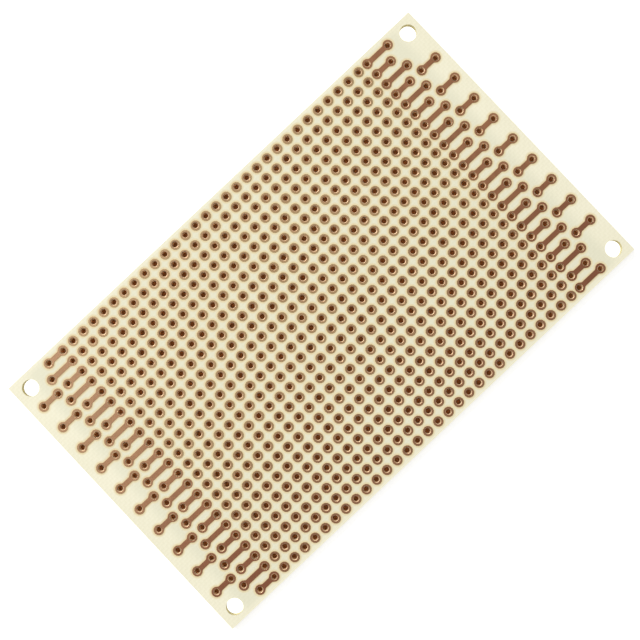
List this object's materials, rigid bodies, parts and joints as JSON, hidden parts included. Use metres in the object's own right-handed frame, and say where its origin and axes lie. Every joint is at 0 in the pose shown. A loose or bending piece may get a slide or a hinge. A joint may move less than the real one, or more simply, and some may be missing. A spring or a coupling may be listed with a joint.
{
  "type": "prototype board",
  "caption": "Flat rectangular circuit prototyping board with a fine grid of copper-plated holes, linked pairs of lands at both ends and a mounting hole in each corner.",
  "frame": {"origin": "centre of the underside, on the plane that the lower copper lands rest on", "axes": "+X along the board's length, +Y across its width, +Z out of the upper copper face"},
  "size_m": [0.0996, 0.0594, 0.0016],
  "materials": {
    "laminate": "matte cream glass-epoxy laminate",
    "copper": "satin bare copper plating, slightly tarnished"
  },
  "bodies": {
    "root": {"substrate": "laminate", "pad_row_01": "copper", "pad_row_02": "copper", "pad_row_03": "copper", "pad_row_04": "copper", "pad_row_05": "copper", "pad_row_06": "copper", "pad_row_07": "copper", "pad_row_08": "copper", "pad_row_09": "copper", "pad_row_10": "copper", "pad_row_11": "copper", "pad_row_12": "copper", "pad_row_13": "copper", "pad_row_14": "copper", "pad_row_15": "copper", "pad_row_16": "copper", "pad_row_17": "copper", "pad_row_18": "copper", "pad_row_19": "copper", "pad_row_20": "copper", "pad_row_21": "copper", "pad_row_22": "copper", "pad_row_23": "copper", "left_short_links": "copper", "left_long_links": "copper", "left_outer_links": "copper", "right_short_links": "copper", "right_long_links": "copper", "right_outer_links": "copper", "right_offset_link": "copper"}
  },
  "joints": []
}
